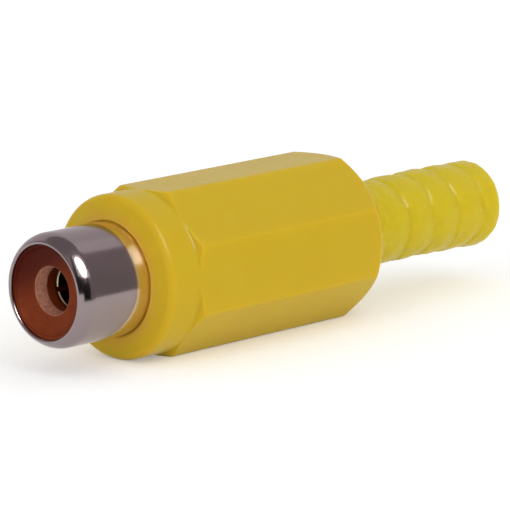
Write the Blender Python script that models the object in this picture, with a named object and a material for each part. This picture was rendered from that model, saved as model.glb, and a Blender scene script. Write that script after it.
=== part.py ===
"""Inline phono socket: a metal socket insert, a screw-on moulded housing and a cable boot.

The connector lies along X with its mouth towards -X and its cable end towards +X, and rests on
one flat of the octagonal housing. Lengths are in metres. NOSE_SWEEP and DOME_SLOPE are in degrees.
"""
import math

import bmesh
import bpy

# Smallest clearances between pieces
FIT_CLEARANCE = 0.00007
SCREW_CLEARANCE = 0.00008
SEAT_GAP = 0.0001

# Turned barrel, the outer contact
BARREL_DIAMETER = 0.0083
BARREL_SHOWING = 0.00627
SHOULDER_DEPTH = 0.0010
NOSE_RADIUS = 0.0017
NOSE_SWEEP = 45.0
THREAD_DIAMETER = 0.0079
THREAD_PITCH = 0.00075
THREAD_TURNS = 6
UNDERCUT_DEPTH = 0.00045
UNDERCUT_LENGTH = 0.0005
THREAD_CHAMFER = 0.0003
REAR_NECK_DIAMETER = 0.0070
ROLLED_RIM_WALL = 0.0004
ROLLED_RIM_DIAMETER = 0.0049
NOTCH_CLEARANCE = 0.0001

# Moulded front insulator
INSULATOR_DIAMETER = 0.00666
INSULATOR_RIM_DEPTH = 0.00027
INSULATOR_FACE_DEPTH = 0.00085
INSULATOR_RIM_WALL = 0.00012
DISH_REACH = 0.00095
INSULATOR_HEAD_LENGTH = 0.0051
INSULATOR_STEM_DIAMETER = 0.00556
PIN_HOLE_DIAMETER = 0.00324
FUNNEL_DIAMETER = 0.0035
FUNNEL_DEPTH = 0.0010

# Sprung centre contact with its solder cup
CONTACT_DEPTH = 0.00275
CONTACT_DIAMETER = 0.00374
CONTACT_BORE = 0.0030
CONTACT_BORE_LENGTH = 0.0066
CONTACT_SLOT_WIDTH = 0.00035
CONTACT_SLOT_LENGTH = 0.0052
CONTACT_TURN = math.radians(-14.0)
CONTACT_CHAMFER = 0.00006
CONTACT_NECK_DIAMETER = 0.0024
SOLDER_CUP_BORE = 0.0017
SOLDER_CUP_LENGTH = 0.0036
SOLDER_CUP_FLOOR = 0.0006
SOLDER_CUP_EXIT = 0.0010

# Rear insulating washer
WASHER_DIAMETER = 0.00556
WASHER_THICKNESS = 0.0010

# Stamped earth tag with its cable clamp
SHEET_THICKNESS = 0.0003
TAG_RING_BORE = 0.0034
TAG_STRIP_WIDTH = 0.0022
CABLE_DIAMETER = 0.0042
CLAMP_TO_FLANGE = 0.00333
CLAMP_LENGTH = 0.0034
CLAMP_WING_HEIGHT = 0.0012
CLAMP_CLEARANCE = 0.00005

# Moulded housing: a domed round collar in front of an octagonal grip
HOUSING_LENGTH = 0.02343
HOUSING_ACROSS_FLATS = 0.0120
COLLAR_STEP = 0.00001
COLLAR_LENGTH = 0.00336
DOME_SLOPE = 16.5
DOME_ROUND = 0.00057
FRONT_CHAMFER_LENGTH = 0.0004
REAR_CHAMFER_LENGTH = 0.00181
REAR_FACE_DIAMETER = 0.0103
REAR_FACE_ROUND = 0.00025
GRIP_EDGE_RADIUS = 0.00022
HOUSING_WALL = 0.0013
REAR_WALL = 0.0019

# Soft cable boot with grip rings
BOOT_SHOWING = 0.0156
BOOT_ROOT_DIAMETER = 0.00616
BOOT_END_DIAMETER = 0.00634
BOOT_NECK_DIAMETER = 0.0062
BOOT_FLANGE_CLEARANCE = 0.00075
BOOT_FLANGE_THICKNESS = 0.0013
BOOT_RING_PITCH = 0.00278
BOOT_RING_HEIGHT = 0.00015
BOOT_RING_FULLNESS = 0.7
BOOT_LAST_GROOVE = 0.0023
BOOT_END_ROUND = 0.0008
CABLE_BORE_CLEARANCE = 0.00015
BOOT_BORE_LEAD = 0.0003

# How finely round shapes are drawn
ROUND_SEGMENTS = 64
SMALL_SEGMENTS = 32
ARC_STEPS = 6
COARSE_ARC_STEPS = 4
NOSE_STEPS = 5
POINTS_PER_RING = 6
SMOOTH_ANGLE = math.radians(28.0)
MERGE_DISTANCE = 0.000001
CUTTER_OVERRUN = 0.001

# Places along the axis, measured from the mouth
COLLAR_FRONT = BARREL_SHOWING
SHOULDER = COLLAR_FRONT + SHOULDER_DEPTH
THREAD_END = SHOULDER + THREAD_TURNS * THREAD_PITCH
RING_FACE = THREAD_END + SEAT_GAP + WASHER_THICKNESS / 2.0
RIM_FRONT = RING_FACE + SHEET_THICKNESS + SEAT_GAP
BARREL_END = RIM_FRONT + ROLLED_RIM_WALL
WASHER_FRONT = RING_FACE - SEAT_GAP - WASHER_THICKNESS
STEM_END = WASHER_FRONT - SEAT_GAP
CONTACT_SHOULDER = WASHER_FRONT - SEAT_GAP
CUP_FLOOR = BARREL_END + SOLDER_CUP_EXIT
CONTACT_END = CUP_FLOOR + SOLDER_CUP_LENGTH
GRIP_FRONT = COLLAR_FRONT + COLLAR_LENGTH
HOUSING_REAR = COLLAR_FRONT + HOUSING_LENGTH
CHAMBER_FRONT = THREAD_END + SEAT_GAP
CHAMBER_REAR = HOUSING_REAR - REAR_WALL
FLANGE_REAR = CHAMBER_REAR - SEAT_GAP
FLANGE_FRONT = FLANGE_REAR - BOOT_FLANGE_THICKNESS
CLAMP_REAR = FLANGE_FRONT - CLAMP_TO_FLANGE
CLAMP_FRONT = CLAMP_REAR - CLAMP_LENGTH
OVERALL_LENGTH = HOUSING_REAR + BOOT_SHOWING
AXIS_HEIGHT = HOUSING_ACROSS_FLATS / 2.0

# Radii that follow from the sizes above
BARREL_RADIUS = BARREL_DIAMETER / 2.0
THREAD_RADIUS = THREAD_DIAMETER / 2.0
INSULATOR_SEAT_RADIUS = INSULATOR_DIAMETER / 2.0 + FIT_CLEARANCE
STEM_SEAT_RADIUS = INSULATOR_STEM_DIAMETER / 2.0 + FIT_CLEARANCE
CONTACT_SEAT_RADIUS = CONTACT_DIAMETER / 2.0 + FIT_CLEARANCE
WASHER_HOLE_RADIUS = CONTACT_NECK_DIAMETER / 2.0 + FIT_CLEARANCE
COLLAR_RADIUS = HOUSING_ACROSS_FLATS / 2.0 - COLLAR_STEP
COLLAR_HOLE_RADIUS = BARREL_RADIUS + FIT_CLEARANCE
SCREW_BORE_RADIUS = THREAD_RADIUS + SCREW_CLEARANCE
GRIP_CORNER_RADIUS = HOUSING_ACROSS_FLATS / 2.0 / math.cos(math.pi / 8.0)
CHAMBER_RADIUS = HOUSING_ACROSS_FLATS / 2.0 - HOUSING_WALL
BOOT_HOLE_RADIUS = BOOT_NECK_DIAMETER / 2.0 + FIT_CLEARANCE
CABLE_BORE_RADIUS = CABLE_DIAMETER / 2.0 + CABLE_BORE_CLEARANCE
CLAMP_INNER_RADIUS = CABLE_DIAMETER / 2.0 + CLAMP_CLEARANCE
CLAMP_OUTER_RADIUS = CLAMP_INNER_RADIUS + SHEET_THICKNESS


def clear_scene():
    """Start from an empty scene."""
    for old in list(bpy.data.objects):
        bpy.data.objects.remove(old, do_unlink=True)


def surface(name, colour, roughness, metallic=0.0):
    """A Principled material with one colour."""
    material = bpy.data.materials.new(name)
    material.use_nodes = True
    shader = material.node_tree.nodes["Principled BSDF"]
    shader.inputs["Base Color"].default_value = (*colour, 1.0)
    shader.inputs["Roughness"].default_value = roughness
    shader.inputs["Metallic"].default_value = metallic
    material.diffuse_color = (*colour, 1.0)
    return material


def arc(centre, radii, start, end, steps=ARC_STEPS):
    """Points on an ellipse about centre, from start to end in degrees."""
    points = []
    for step in range(steps + 1):
        angle = math.radians(start + (end - start) * step / steps)
        points.append((centre[0] + radii[0] * math.cos(angle), centre[1] + radii[1] * math.sin(angle)))
    return points


def place(name, shape, material, parent):
    """Turn a bmesh into a named object on its parent, with round faces shaded smooth."""
    mesh = bpy.data.meshes.new(name)
    shape.to_mesh(mesh)
    shape.free()
    mesh.shade_smooth()
    mesh.set_sharp_from_angle(angle=SMOOTH_ANGLE)
    piece = bpy.data.objects.new(name, mesh)
    bpy.context.scene.collection.objects.link(piece)
    piece.parent = parent
    if material:
        mesh.materials.append(material)
    return piece


def turned(name, profile, material, parent, segments=ROUND_SEGMENTS):
    """Spin an (x, radius) profile about the axis. A profile that ends on the axis is solid there."""
    shape = bmesh.new()
    points = [shape.verts.new((x, 0.0, radius)) for x, radius in profile]
    pairs = list(zip(points, points[1:]))
    on_axis = profile[0][1] == 0.0 and profile[-1][1] == 0.0
    if not on_axis:
        pairs.append((points[-1], points[0]))
    for first, second in pairs:
        shape.edges.new((first, second))
    bmesh.ops.spin(
        shape,
        geom=shape.verts[:] + shape.edges[:],
        cent=(0.0, 0.0, 0.0),
        axis=(1.0, 0.0, 0.0),
        angle=math.tau,
        steps=segments,
        use_merge=True,
    )
    bmesh.ops.remove_doubles(shape, verts=shape.verts, dist=MERGE_DISTANCE)
    bmesh.ops.recalc_face_normals(shape, faces=shape.faces)
    return place(name, shape, material, parent)


def block(name, low, high, parent):
    """A plain cutting block between two corners."""
    shape = bmesh.new()
    bmesh.ops.create_cube(shape, size=1.0)
    for vertex in shape.verts:
        for axis in range(3):
            middle = (low[axis] + high[axis]) / 2.0
            vertex.co[axis] = middle + vertex.co[axis] * (high[axis] - low[axis])
    return place(name, shape, None, parent)


def prism(name, outline, start, end, material, parent):
    """Extrude a (y, z) outline along the axis."""
    shape = bmesh.new()
    face = shape.faces.new([shape.verts.new((start, y, z)) for y, z in outline])
    moved = bmesh.ops.extrude_face_region(shape, geom=[face])
    for item in moved["geom"]:
        if isinstance(item, bmesh.types.BMVert):
            item.co.x = end
    bmesh.ops.recalc_face_normals(shape, faces=shape.faces)
    return place(name, shape, material, parent)


def combine(piece, tool, operation):
    """Cut, join or intersect a piece with a tool that is itself left out of the model."""
    tool.hide_render = True
    tool.display_type = "WIRE"
    modifier = piece.modifiers.new(f"{operation.lower()} {tool.name}", "BOOLEAN")
    modifier.operation = operation
    modifier.solver = "EXACT"
    modifier.object = tool


def make_barrel(material, parent):
    """Turned shell: a rolled-in mouth, a plain mating length, a thread and a rim closed over the tag."""
    along = math.cos(math.radians(NOSE_SWEEP))
    outward = math.sin(math.radians(NOSE_SWEEP))
    nose_height = BARREL_RADIUS - NOSE_RADIUS
    lip_round = (nose_height + NOSE_RADIUS * outward - INSULATOR_SEAT_RADIUS) / (1.0 + outward)
    lip_centre = (lip_round, INSULATOR_SEAT_RADIUS + lip_round)
    nose_centre = (lip_round + (NOSE_RADIUS - lip_round) * along, nose_height)
    join_angle = 180.0 - NOSE_SWEEP
    undercut_radius = THREAD_RADIUS - UNDERCUT_DEPTH
    neck_radius = REAR_NECK_DIAMETER / 2.0
    rim_radius = ROLLED_RIM_DIAMETER / 2.0
    head_end = INSULATOR_RIM_DEPTH + INSULATOR_HEAD_LENGTH + SEAT_GAP
    profile = arc(lip_centre, (lip_round, lip_round), 270.0, join_angle)
    profile += arc(nose_centre, (NOSE_RADIUS, NOSE_RADIUS), join_angle, 90.0, NOSE_STEPS)[1:]
    profile += [
        (SHOULDER - SEAT_GAP, BARREL_RADIUS),
        (SHOULDER, BARREL_RADIUS - SEAT_GAP),
        (SHOULDER, undercut_radius),
        (SHOULDER + UNDERCUT_LENGTH, undercut_radius),
        (SHOULDER + UNDERCUT_LENGTH + UNDERCUT_DEPTH, THREAD_RADIUS),
        (THREAD_END - THREAD_CHAMFER, THREAD_RADIUS),
        (THREAD_END, THREAD_RADIUS - THREAD_CHAMFER),
        (THREAD_END, neck_radius),
        (RIM_FRONT, neck_radius),
    ]
    rim_centre = (RIM_FRONT, neck_radius - ROLLED_RIM_WALL)
    profile += arc(rim_centre, (ROLLED_RIM_WALL, ROLLED_RIM_WALL), 90.0, 0.0, COARSE_ARC_STEPS)[1:]
    profile += [
        (BARREL_END, rim_radius),
        (RIM_FRONT, rim_radius),
        (RIM_FRONT, STEM_SEAT_RADIUS),
        (head_end, STEM_SEAT_RADIUS),
        (head_end, INSULATOR_SEAT_RADIUS),
    ]
    barrel = turned("outer_contact_barrel", profile, material, parent)
    notch_half_width = TAG_STRIP_WIDTH / 2.0 + NOTCH_CLEARANCE
    notch = block(
        "rim_notch",
        (RIM_FRONT - SEAT_GAP / 2.0, -notch_half_width, -CLAMP_OUTER_RADIUS - NOTCH_CLEARANCE),
        (BARREL_END + CUTTER_OVERRUN, notch_half_width, 0.0),
        parent,
    )
    combine(barrel, notch, "DIFFERENCE")
    return barrel


def make_front_insulator(material, parent):
    """Moulded insulator: a dished face with a funnelled pin hole, and a stem that holds the contact."""
    outer_radius = INSULATOR_DIAMETER / 2.0
    stem_radius = INSULATOR_STEM_DIAMETER / 2.0
    wall_radius = outer_radius - INSULATOR_RIM_WALL
    dish_depth = INSULATOR_FACE_DEPTH - INSULATOR_RIM_DEPTH
    head_end = INSULATOR_RIM_DEPTH + INSULATOR_HEAD_LENGTH
    profile = [(INSULATOR_RIM_DEPTH, outer_radius), (INSULATOR_RIM_DEPTH, wall_radius)]
    dish_centre = (INSULATOR_RIM_DEPTH, wall_radius - DISH_REACH)
    profile += arc(dish_centre, (dish_depth, DISH_REACH), 90.0, 0.0)[1:]
    profile += [
        (INSULATOR_FACE_DEPTH, FUNNEL_DIAMETER / 2.0),
        (INSULATOR_FACE_DEPTH + FUNNEL_DEPTH, PIN_HOLE_DIAMETER / 2.0),
        (CONTACT_DEPTH - SEAT_GAP, PIN_HOLE_DIAMETER / 2.0),
        (CONTACT_DEPTH - SEAT_GAP, CONTACT_SEAT_RADIUS),
        (STEM_END, CONTACT_SEAT_RADIUS),
        (STEM_END, stem_radius),
        (head_end, stem_radius),
        (head_end, outer_radius),
    ]
    return turned("front_insulator", profile, material, parent)


def make_centre_contact(material, parent):
    """Turned contact: a sawn, sprung tube in front, a neck through the washer and a solder cup behind."""
    outer_radius = CONTACT_DIAMETER / 2.0
    bore_radius = CONTACT_BORE / 2.0
    neck_radius = CONTACT_NECK_DIAMETER / 2.0
    cup_radius = SOLDER_CUP_BORE / 2.0
    bore_end = CONTACT_DEPTH + CONTACT_BORE_LENGTH
    profile = [
        (bore_end + bore_radius / 2.0, 0.0),
        (bore_end, bore_radius),
        (CONTACT_DEPTH + CONTACT_CHAMFER, bore_radius),
        (CONTACT_DEPTH, bore_radius + CONTACT_CHAMFER),
        (CONTACT_DEPTH, outer_radius - CONTACT_CHAMFER),
        (CONTACT_DEPTH + CONTACT_CHAMFER, outer_radius),
        (CONTACT_SHOULDER, outer_radius),
        (CONTACT_SHOULDER, neck_radius),
        (CONTACT_END, neck_radius),
        (CONTACT_END, cup_radius),
        (CUP_FLOOR + SOLDER_CUP_FLOOR, cup_radius),
        (CUP_FLOOR, 0.0),
    ]
    contact = turned("centre_contact", profile, material, parent, SMALL_SEGMENTS)
    contact.rotation_euler.x = CONTACT_TURN
    slot = block(
        "contact_saw_cut",
        (CONTACT_DEPTH - CUTTER_OVERRUN, -outer_radius - CUTTER_OVERRUN, -CONTACT_SLOT_WIDTH / 2.0),
        (CONTACT_DEPTH + CONTACT_SLOT_LENGTH, outer_radius + CUTTER_OVERRUN, CONTACT_SLOT_WIDTH / 2.0),
        parent,
    )
    slot.rotation_euler.x = CONTACT_TURN
    combine(contact, slot, "DIFFERENCE")
    opening = block(
        "solder_cup_opening",
        (CUP_FLOOR + SOLDER_CUP_FLOOR * 2.0, -neck_radius - CUTTER_OVERRUN, 0.0),
        (CONTACT_END + CUTTER_OVERRUN, neck_radius + CUTTER_OVERRUN, neck_radius + CUTTER_OVERRUN),
        parent,
    )
    combine(contact, opening, "DIFFERENCE")
    return contact


def make_washer(material, parent):
    """Laminate washer that centres the contact's neck in the barrel."""
    profile = [
        (WASHER_FRONT, WASHER_HOLE_RADIUS),
        (WASHER_FRONT, WASHER_DIAMETER / 2.0),
        (WASHER_FRONT + WASHER_THICKNESS, WASHER_DIAMETER / 2.0),
        (WASHER_FRONT + WASHER_THICKNESS, WASHER_HOLE_RADIUS),
    ]
    return turned("rear_insulator_washer", profile, material, parent)


def channel_outline(inner_radius, outer_radius, wing_height):
    """A U section that opens upwards: a half-round floor with two straight wings."""
    floor_out = arc((0.0, 0.0), (outer_radius, outer_radius), 180.0, 360.0, 2 * ARC_STEPS)
    floor_in = arc((0.0, 0.0), (inner_radius, inner_radius), 360.0, 180.0, 2 * ARC_STEPS)
    right_wing = [(outer_radius, wing_height), (inner_radius, wing_height)]
    left_wing = [(-inner_radius, wing_height), (-outer_radius, wing_height)]
    return floor_out + right_wing + floor_in + left_wing


def make_earth_tag(material, parent):
    """Stamped tag: a ring under the barrel's rim, a strip out of its notch and a clamp for the cable."""
    ring_rear = RING_FACE + SHEET_THICKNESS
    ring = [
        (RING_FACE, TAG_RING_BORE / 2.0),
        (RING_FACE, WASHER_DIAMETER / 2.0),
        (ring_rear, WASHER_DIAMETER / 2.0),
        (ring_rear, TAG_RING_BORE / 2.0),
    ]
    tag = turned("earth_tag", ring, material, parent, SMALL_SEGMENTS)
    half_width = TAG_STRIP_WIDTH / 2.0
    strip = block(
        "tag_strip",
        (RING_FACE + SHEET_THICKNESS / 2.0, -half_width, -CLAMP_OUTER_RADIUS),
        (CLAMP_FRONT + CLAMP_LENGTH / 2.0, half_width, -CLAMP_INNER_RADIUS),
        parent,
    )
    clamp = prism(
        "tag_clamp",
        channel_outline(CLAMP_INNER_RADIUS, CLAMP_OUTER_RADIUS, CLAMP_WING_HEIGHT),
        CLAMP_FRONT,
        CLAMP_REAR,
        None,
        parent,
    )
    combine(tag, strip, "UNION")
    combine(tag, clamp, "UNION")
    return tag


def make_housing(material, parent):
    """Moulded housing: turned outside and octagonal grip intersected, then bored from both ends."""
    chamfer_radius = GRIP_CORNER_RADIUS + COLLAR_STEP
    rear_radius = REAR_FACE_DIAMETER / 2.0
    core_radius = SCREW_BORE_RADIUS / 2.0
    slope = math.radians(DOME_SLOPE)
    round_height = COLLAR_RADIUS - DOME_ROUND
    rise = (round_height - COLLAR_HOLE_RADIUS) * math.sin(slope)
    dome_centre = (COLLAR_FRONT + (DOME_ROUND + rise) / math.cos(slope), round_height)
    core_front = COLLAR_FRONT - (COLLAR_HOLE_RADIUS - core_radius) * math.tan(slope)
    outside = [(core_front, core_radius)]
    outside += arc(dome_centre, (DOME_ROUND, DOME_ROUND), 180.0 - DOME_SLOPE, 90.0)
    outside += [
        (GRIP_FRONT, COLLAR_RADIUS),
        (GRIP_FRONT + FRONT_CHAMFER_LENGTH, chamfer_radius),
        (HOUSING_REAR - REAR_CHAMFER_LENGTH, chamfer_radius),
        (HOUSING_REAR - REAR_FACE_ROUND, rear_radius),
        (HOUSING_REAR, rear_radius - REAR_FACE_ROUND),
        (HOUSING_REAR, core_radius),
    ]
    housing = turned("housing", outside, material, parent)

    corners = [math.pi / 8.0 + corner * math.pi / 4.0 for corner in range(8)]
    octagon = [(GRIP_CORNER_RADIUS * math.cos(a), GRIP_CORNER_RADIUS * math.sin(a)) for a in corners]
    grip = prism(
        "grip_octagon",
        octagon,
        COLLAR_FRONT - CUTTER_OVERRUN,
        HOUSING_REAR + CUTTER_OVERRUN,
        None,
        parent,
    )
    rounding = grip.modifiers.new("moulded corners", "BEVEL")
    rounding.width = GRIP_EDGE_RADIUS
    rounding.segments = 2
    rounding.limit_method = "ANGLE"
    rounding.angle_limit = math.radians(30.0)
    combine(housing, grip, "INTERSECT")

    step = CHAMBER_RADIUS - SCREW_BORE_RADIUS
    inside = [
        (COLLAR_FRONT - CUTTER_OVERRUN, 0.0),
        (COLLAR_FRONT - CUTTER_OVERRUN, COLLAR_HOLE_RADIUS),
        (SHOULDER + SEAT_GAP, COLLAR_HOLE_RADIUS),
        (SHOULDER + SEAT_GAP, SCREW_BORE_RADIUS),
        (CHAMBER_FRONT, SCREW_BORE_RADIUS),
        (CHAMBER_FRONT + step, CHAMBER_RADIUS),
        (CHAMBER_REAR, CHAMBER_RADIUS),
        (CHAMBER_REAR, BOOT_HOLE_RADIUS),
        (HOUSING_REAR + CUTTER_OVERRUN, BOOT_HOLE_RADIUS),
        (HOUSING_REAR + CUTTER_OVERRUN, 0.0),
    ]
    bore = turned("housing_bore", inside, None, parent)
    combine(housing, bore, "DIFFERENCE")
    return housing


def ring_swell(rings_along):
    """How far the sleeve swells between two grooves, from 0 in a groove to 1 between them."""
    if rings_along > 0.5:
        return 1.0
    return abs(math.sin(math.pi * rings_along)) ** BOOT_RING_FULLNESS


def boot_outside():
    """The boot's outer line behind the housing: a slow taper of soft rings with narrow grooves."""
    root_radius = BOOT_ROOT_DIAMETER / 2.0
    end_radius = BOOT_END_DIAMETER / 2.0
    start = HOUSING_REAR + SEAT_GAP
    round_start = OVERALL_LENGTH - BOOT_END_ROUND
    last_groove = OVERALL_LENGTH - BOOT_LAST_GROOVE
    first_step = math.ceil((start - last_groove) / BOOT_RING_PITCH * POINTS_PER_RING)
    last_step = math.floor((round_start - last_groove) / BOOT_RING_PITCH * POINTS_PER_RING)
    places = [last_groove + BOOT_RING_PITCH * k / POINTS_PER_RING for k in range(first_step, last_step + 1)]
    points = []
    for x in [start] + [x for x in places if start < x < round_start] + [round_start]:
        taper = root_radius + (end_radius - root_radius) * (x - start) / (round_start - start)
        points.append((x, taper + BOOT_RING_HEIGHT * ring_swell((x - last_groove) / BOOT_RING_PITCH)))
    return points


def make_boot(material, parent):
    """Soft boot: a flange caught inside the housing, a neck through its rear wall and a ringed sleeve."""
    neck_radius = BOOT_NECK_DIAMETER / 2.0
    flange_radius = CHAMBER_RADIUS - BOOT_FLANGE_CLEARANCE
    profile = [
        (FLANGE_FRONT, CABLE_BORE_RADIUS + BOOT_BORE_LEAD),
        (FLANGE_FRONT, flange_radius),
        (FLANGE_REAR, flange_radius),
        (FLANGE_REAR, neck_radius),
        (HOUSING_REAR + SEAT_GAP / 2.0, neck_radius),
    ]
    sleeve = boot_outside()
    profile += sleeve
    end_x, end_radius = sleeve[-1]
    end_centre = (end_x, end_radius - BOOT_END_ROUND)
    profile += arc(end_centre, (BOOT_END_ROUND, BOOT_END_ROUND), 90.0, 0.0, COARSE_ARC_STEPS)[1:]
    profile += [
        (OVERALL_LENGTH, CABLE_BORE_RADIUS),
        (FLANGE_FRONT + BOOT_BORE_LEAD, CABLE_BORE_RADIUS),
    ]
    return turned("strain_relief_boot", profile, material, parent, ROUND_SEGMENTS * 3 // 4)


def axis_empty(name, parent=None):
    """An empty on the connector's axis that carries one group of pieces."""
    empty = bpy.data.objects.new(name, None)
    empty.empty_display_size = BARREL_DIAMETER
    bpy.context.scene.collection.objects.link(empty)
    empty.parent = parent
    return empty


def build():
    """Make the three groups: the fixed insert, the boot that travels and the housing that turns."""
    clear_scene()
    insert = axis_empty("insert_axis")
    insert.location = (-OVERALL_LENGTH / 2.0, 0.0, AXIS_HEIGHT)
    travel = axis_empty("boot_travel", insert)
    spin = axis_empty("housing_spin", travel)

    nickel = surface("bright nickel plate", (0.66, 0.64, 0.62), 0.12, 1.0)
    phenolic = surface("brown phenolic", (0.16, 0.03, 0.012), 0.42)
    laminate = surface("phenolic laminate", (0.24, 0.10, 0.035), 0.6)
    brass = surface("spring brass", (0.72, 0.52, 0.24), 0.25, 1.0)
    tin = surface("tinned steel strip", (0.62, 0.62, 0.60), 0.3, 1.0)
    shell = surface("yellow moulded shell", (0.60, 0.42, 0.03), 0.38)
    soft = surface("yellow soft boot", (0.58, 0.45, 0.035), 0.42)

    make_barrel(nickel, insert)
    make_front_insulator(phenolic, insert)
    make_centre_contact(brass, insert)
    make_washer(laminate, insert)
    make_earth_tag(tin, insert)
    make_boot(soft, travel)
    make_housing(shell, spin)


build()
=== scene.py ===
# %% [markdown]
# # An inline phono socket, dressed for its portrait
#
# The frame holds the solids of the connector: the metal barrel with the pieces inside it, the
# yellow housing that screws over them, and the soft boot for the cable. This lesson gives each
# one that shows a finer surface and a material, and then lights and photographs the whole.

# %% Load the frame
import math

import bmesh
import bpy
from mathutils import Matrix, Vector, noise


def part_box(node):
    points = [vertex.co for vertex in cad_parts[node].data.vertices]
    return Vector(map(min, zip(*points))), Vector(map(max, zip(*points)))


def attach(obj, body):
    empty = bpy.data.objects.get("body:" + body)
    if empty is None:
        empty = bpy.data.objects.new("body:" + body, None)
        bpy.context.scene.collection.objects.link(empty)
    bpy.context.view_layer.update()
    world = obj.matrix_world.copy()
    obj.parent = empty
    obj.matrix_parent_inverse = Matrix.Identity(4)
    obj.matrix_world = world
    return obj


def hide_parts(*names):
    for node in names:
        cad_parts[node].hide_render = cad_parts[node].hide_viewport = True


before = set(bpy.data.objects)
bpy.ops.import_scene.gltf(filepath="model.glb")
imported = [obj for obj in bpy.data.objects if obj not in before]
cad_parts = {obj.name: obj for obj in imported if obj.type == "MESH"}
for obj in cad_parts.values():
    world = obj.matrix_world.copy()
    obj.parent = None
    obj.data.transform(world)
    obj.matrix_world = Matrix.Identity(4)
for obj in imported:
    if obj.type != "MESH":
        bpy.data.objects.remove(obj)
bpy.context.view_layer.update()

MM = 0.001
print("nodes:", ", ".join(sorted(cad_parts)))

# %% [markdown]
# Every place along the connector is read from the frame, so the fine surfaces stay on the solids
# that they stand for. The axis runs along X. The mouth is at the low end, and the cable comes in
# at the high end.

# %% Read the main places from the frame
barrel_low, barrel_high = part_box("outer_contact_barrel")
housing_low, housing_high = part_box("housing")
boot_low, boot_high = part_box("strain_relief_boot")
insulator_low, insulator_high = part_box("front_insulator")
contact_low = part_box("centre_contact")[0]

MOUTH_X = barrel_low.x
BARREL_END_X = barrel_high.x
BARREL_RADIUS = (barrel_high.z - barrel_low.z) / 2.0
AXIS_Z = (barrel_high.z + barrel_low.z) / 2.0
COLLAR_X = housing_low.x
HOUSING_END_X = housing_high.x
FLAT_RADIUS = (housing_high.z - housing_low.z) / 2.0
BOOT_START_X = boot_low.x
BOOT_END_X = boot_high.x
print(f"barrel {2000 * BARREL_RADIUS:.2f} mm across, axis {1000 * AXIS_Z:.2f} mm up")

# %% [markdown]
# ## Turning
#
# Most of these pieces come off a lathe or out of a round mould. A lathe needs only half a
# section: a row of points, each with a place along the axis and a radius. The helper below spins
# that row into rings of quads. An extra function may push single points in or out, which is how
# an octagon, a screw thread or a wavy soft sleeve comes from the same helper.

# %% The lathe
def arc(centre, radii, start, end, steps):
    """Points on an ellipse in the half section, from start to end in degrees."""
    points = []
    for step in range(steps + 1):
        turn = math.radians(start + (end - start) * step / steps)
        along = radii[0] * math.cos(turn)
        outward = radii[1] * math.sin(turn)
        points.append((centre[0] + along, centre[1] + outward))
    return points


def between(start, end, steps):
    """Evenly spaced points from start up to, but not including, end."""
    return [
        tuple(a + (b - a) * step / steps for a, b in zip(start, end))
        for step in range(steps)
    ]


def lathe(name, section, columns, shaped=None):
    """Spin a closed section of (x, radius) points about the connector's axis."""
    shape = bmesh.new()
    rings = []
    for x, radius in section:
        ring = []
        for column in range(columns):
            angle = math.tau * column / columns
            away = shaped(x, radius, angle) if shaped else radius
            place = (x, away * math.cos(angle), AXIS_Z + away * math.sin(angle))
            ring.append(shape.verts.new(place))
        rings.append(ring)
    for ring, following in zip(rings, rings[1:] + rings[:1]):
        for column in range(columns):
            beside = (column + 1) % columns
            shape.faces.new((ring[column], ring[beside], following[beside], following[column]))
    bmesh.ops.recalc_face_normals(shape, faces=shape.faces)
    mesh = bpy.data.meshes.new(name)
    shape.to_mesh(mesh)
    shape.free()
    mesh.shade_smooth()
    piece = bpy.data.objects.new(name, mesh)
    bpy.context.scene.collection.objects.link(piece)
    print(f"{name}: {len(mesh.polygons)} faces")
    return piece


# %% [markdown]
# A finished piece rides with the body that carries it, stands for its solid in the frame, and
# gets its finish. Hard edges of turned metal stay crisp when smooth shading stops at a set
# angle.

# %% Handing a piece to the frame
def hand_over(piece, node_name, body, material, sharp_angle=40.0):
    """Finish a fine piece: its shading, its material, and its place in the frame."""
    piece.data.set_sharp_from_angle(angle=math.radians(sharp_angle))
    piece.data.materials.append(material)
    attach(piece, body)
    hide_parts(node_name)


# %% [markdown]
# ## Materials
#
# Colours are written as the sRGB hex values that a picture shows, and one function turns them to
# the linear values that light is worked out in. One more function adds a shader node: each input
# is either a value or another node's output.

# %% Two helpers for materials
def linear(hex_colour):
    """An sRGB hex colour as linear red, green, blue and alpha."""
    channels = []
    for start in (1, 3, 5):
        value = int(hex_colour[start:start + 2], 16) / 255.0
        channels.append(value / 12.92 if value <= 0.04045 else ((value + 0.055) / 1.055) ** 2.4)
    return (*channels, 1.0)


def add_node(tree, kind, inputs=None, **settings):
    """Add a shader node, set its own properties, and set or link its inputs."""
    made = tree.nodes.new(kind)
    for key, value in settings.items():
        setattr(made, key, value)
    for key, value in (inputs or {}).items():
        if isinstance(value, bpy.types.NodeSocket):
            tree.links.new(value, made.inputs[key])
        else:
            made.inputs[key].default_value = value
    return made


def blank_material(name):
    """A material with only its output, and the object's coordinates in metres."""
    material = bpy.data.materials.new(name)
    material.use_nodes = True
    tree = material.node_tree
    tree.nodes.clear()
    output = tree.nodes.new("ShaderNodeOutputMaterial")
    place = tree.nodes.new("ShaderNodeTexCoord").outputs["Object"]
    return material, tree, output, place
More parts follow.
